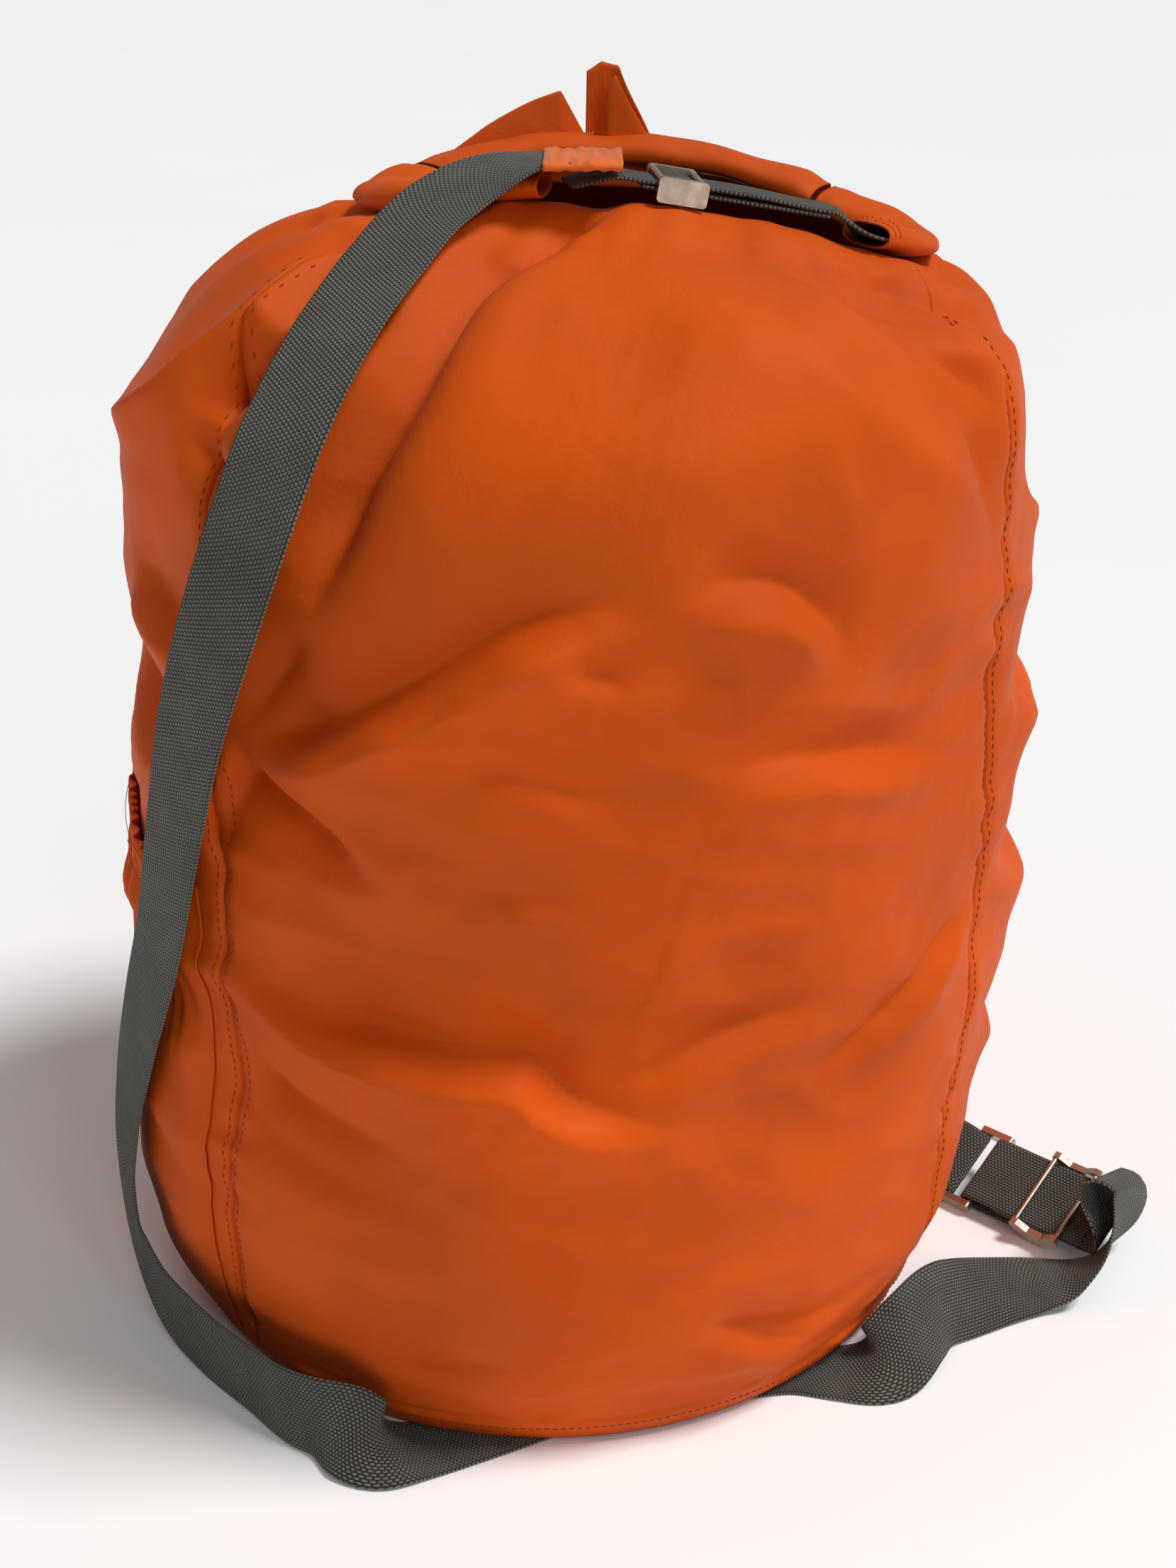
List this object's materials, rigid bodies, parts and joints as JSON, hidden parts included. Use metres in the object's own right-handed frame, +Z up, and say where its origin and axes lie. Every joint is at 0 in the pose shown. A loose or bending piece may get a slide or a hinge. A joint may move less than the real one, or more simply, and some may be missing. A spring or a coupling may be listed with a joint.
{
  "type": "rope storage bag",
  "caption": "Round drawstring bucket bag of thin orange cloth with a side pocket, a webbing mouth closure and an adjustable webbing sling strap.",
  "frame": {"origin": "centre of the round base, on the surface the bag stands on", "axes": "+Z up through the mouth, -Y towards the front panel, +X towards the side where the buckles lie"},
  "size_m": [0.5225, 0.4333, 0.5769],
  "materials": {
    "shell_cloth": "thin coated nylon, matte with a slight sheen",
    "base_cloth": "heavier coated nylon, matte",
    "tab_cloth": "uncoated nylon, matte",
    "webbing": "ribbed olive-grey webbing",
    "elastic": "woven elastic",
    "thread": "matte thread",
    "buckle_metal": "satin nickel plate"
  },
  "bodies": {
    "bag": {"front_panel": "shell_cloth", "right_side_panel": "shell_cloth", "back_panel": "shell_cloth", "left_side_panel": "shell_cloth", "base_panel": "base_cloth", "base_binding": "base_cloth", "side_pocket": "shell_cloth", "pocket_elastic": "elastic", "casing_left": "shell_cloth", "casing_back": "shell_cloth", "casing_right": "shell_cloth", "collar_left": "shell_cloth", "collar_right": "shell_cloth", "closing_webbing": "webbing", "closing_tail": "webbing", "mouth_tab": "tab_cloth", "strap": "webbing", "anchor_loop": "webbing", "anchor_stitching": "thread"},
    "mouth_catch": {"mouth_slider": "buckle_metal"},
    "strap_end": {"strap_ring": "buckle_metal", "strap_tail": "webbing"},
    "adjuster": {"strap_slider": "buckle_metal", "strap_fold": "webbing", "fold_stitching": "thread"}
  },
  "joints": [
    {"name": "mouth_catch_slide", "type": "slide", "parent": "bag", "child": "mouth_catch", "axis": [0.976, 0.1291, -0.1754], "range_m": [-0.004, 0.052]},
    {"name": "strap_end_swing", "type": "hinge", "parent": "bag", "child": "strap_end", "pos_m": [0.224, 0.01, 0.015], "axis": [-0.6014, -0.6679, -0.4384], "range_deg": [0, 30]},
    {"name": "adjuster_slide", "type": "slide", "parent": "strap_end", "child": "adjuster", "axis": [0.7431, -0.6691, 0], "range_m": [-0.012, 0.003]}
  ]
}
